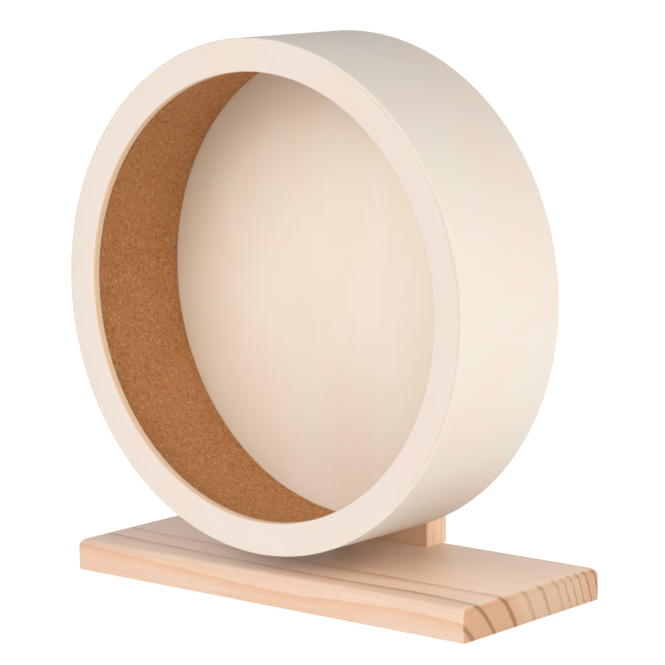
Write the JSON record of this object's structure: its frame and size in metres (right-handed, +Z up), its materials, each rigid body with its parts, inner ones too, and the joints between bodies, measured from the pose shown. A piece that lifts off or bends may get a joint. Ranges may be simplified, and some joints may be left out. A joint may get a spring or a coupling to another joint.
{
  "type": "small-pet exercise wheel on stand",
  "caption": "Cork-lined plywood exercise wheel, open at the front, turning on ball bearings in an upright wooden post on a flat base board.",
  "frame": {"origin": "centre of the base board's underside, on the surface that the stand rests on", "axes": "+Z up; -Y out of the drum's open mouth, so the front faces -Y; +X along the board's long side, to the right seen from the front"},
  "size_m": [0.28, 0.1346, 0.308],
  "materials": {
    "pine": "planed, bare",
    "plywood": "sanded, bare",
    "cork": "fine-grained sheet cork, matt",
    "beech": "turned, bare",
    "zinc_plated_steel": "bright zinc plate",
    "shield_steel": "pressed sheet, satin",
    "bearing_steel": "ground and polished",
    "cage_nylon": "moulded, natural",
    "nut_nylon": "moulded, natural"
  },
  "bodies": {
    "stand": {"base_board": "pine", "post": "pine", "post_dowel_left": "beech", "post_dowel_right": "beech", "post_screw_left": "zinc_plated_steel", "post_screw_right": "zinc_plated_steel", "front_bearing_outer": "bearing_steel", "front_bearing_shield_front": "shield_steel", "front_bearing_shield_rear": "shield_steel", "rear_bearing_outer": "bearing_steel", "rear_bearing_shield_front": "shield_steel", "rear_bearing_shield_rear": "shield_steel"},
    "wheel": {"drum_wall": "plywood", "front_ring": "plywood", "cork_lining": "cork", "back_disc": "plywood", "hub_block": "beech", "hub_screw_1": "zinc_plated_steel", "hub_screw_2": "zinc_plated_steel", "hub_screw_3": "zinc_plated_steel", "hub_screw_4": "zinc_plated_steel", "axle_bolt": "zinc_plated_steel", "hub_washer": "zinc_plated_steel", "front_spacer": "zinc_plated_steel", "middle_spacer": "zinc_plated_steel", "rear_washer": "zinc_plated_steel", "lock_nut": "zinc_plated_steel", "lock_nut_insert": "nut_nylon", "front_bearing_inner": "bearing_steel", "rear_bearing_inner": "bearing_steel"},
    "front_bearing_cage_set": {"front_bearing_cage": "cage_nylon", "front_bearing_ball_1": "bearing_steel", "front_bearing_ball_2": "bearing_steel", "front_bearing_ball_3": "bearing_steel", "front_bearing_ball_4": "bearing_steel", "front_bearing_ball_5": "bearing_steel", "front_bearing_ball_6": "bearing_steel", "front_bearing_ball_7": "bearing_steel"},
    "rear_bearing_cage_set": {"rear_bearing_cage": "cage_nylon", "rear_bearing_ball_1": "bearing_steel", "rear_bearing_ball_2": "bearing_steel", "rear_bearing_ball_3": "bearing_steel", "rear_bearing_ball_4": "bearing_steel", "rear_bearing_ball_5": "bearing_steel", "rear_bearing_ball_6": "bearing_steel", "rear_bearing_ball_7": "bearing_steel"}
  },
  "joints": [
    {"name": "wheel_spin", "type": "hinge", "parent": "stand", "child": "wheel", "pos_m": [0, 0.051, 0.168], "axis": [0, 1, 0], "continuous": true},
    {"name": "front_cage_spin", "type": "hinge", "parent": "stand", "child": "front_bearing_cage_set", "pos_m": [0, 0.0455, 0.168], "axis": [0, 1, 0], "continuous": true},
    {"name": "rear_cage_spin", "type": "hinge", "parent": "stand", "child": "rear_bearing_cage_set", "pos_m": [0, 0.0565, 0.168], "axis": [0, 1, 0], "continuous": true}
  ],
  "couplings": [
    {"joint": "front_cage_spin", "follows": "wheel_spin", "ratio": 0.3677},
    {"joint": "rear_cage_spin", "follows": "wheel_spin", "ratio": 0.3677}
  ]
}
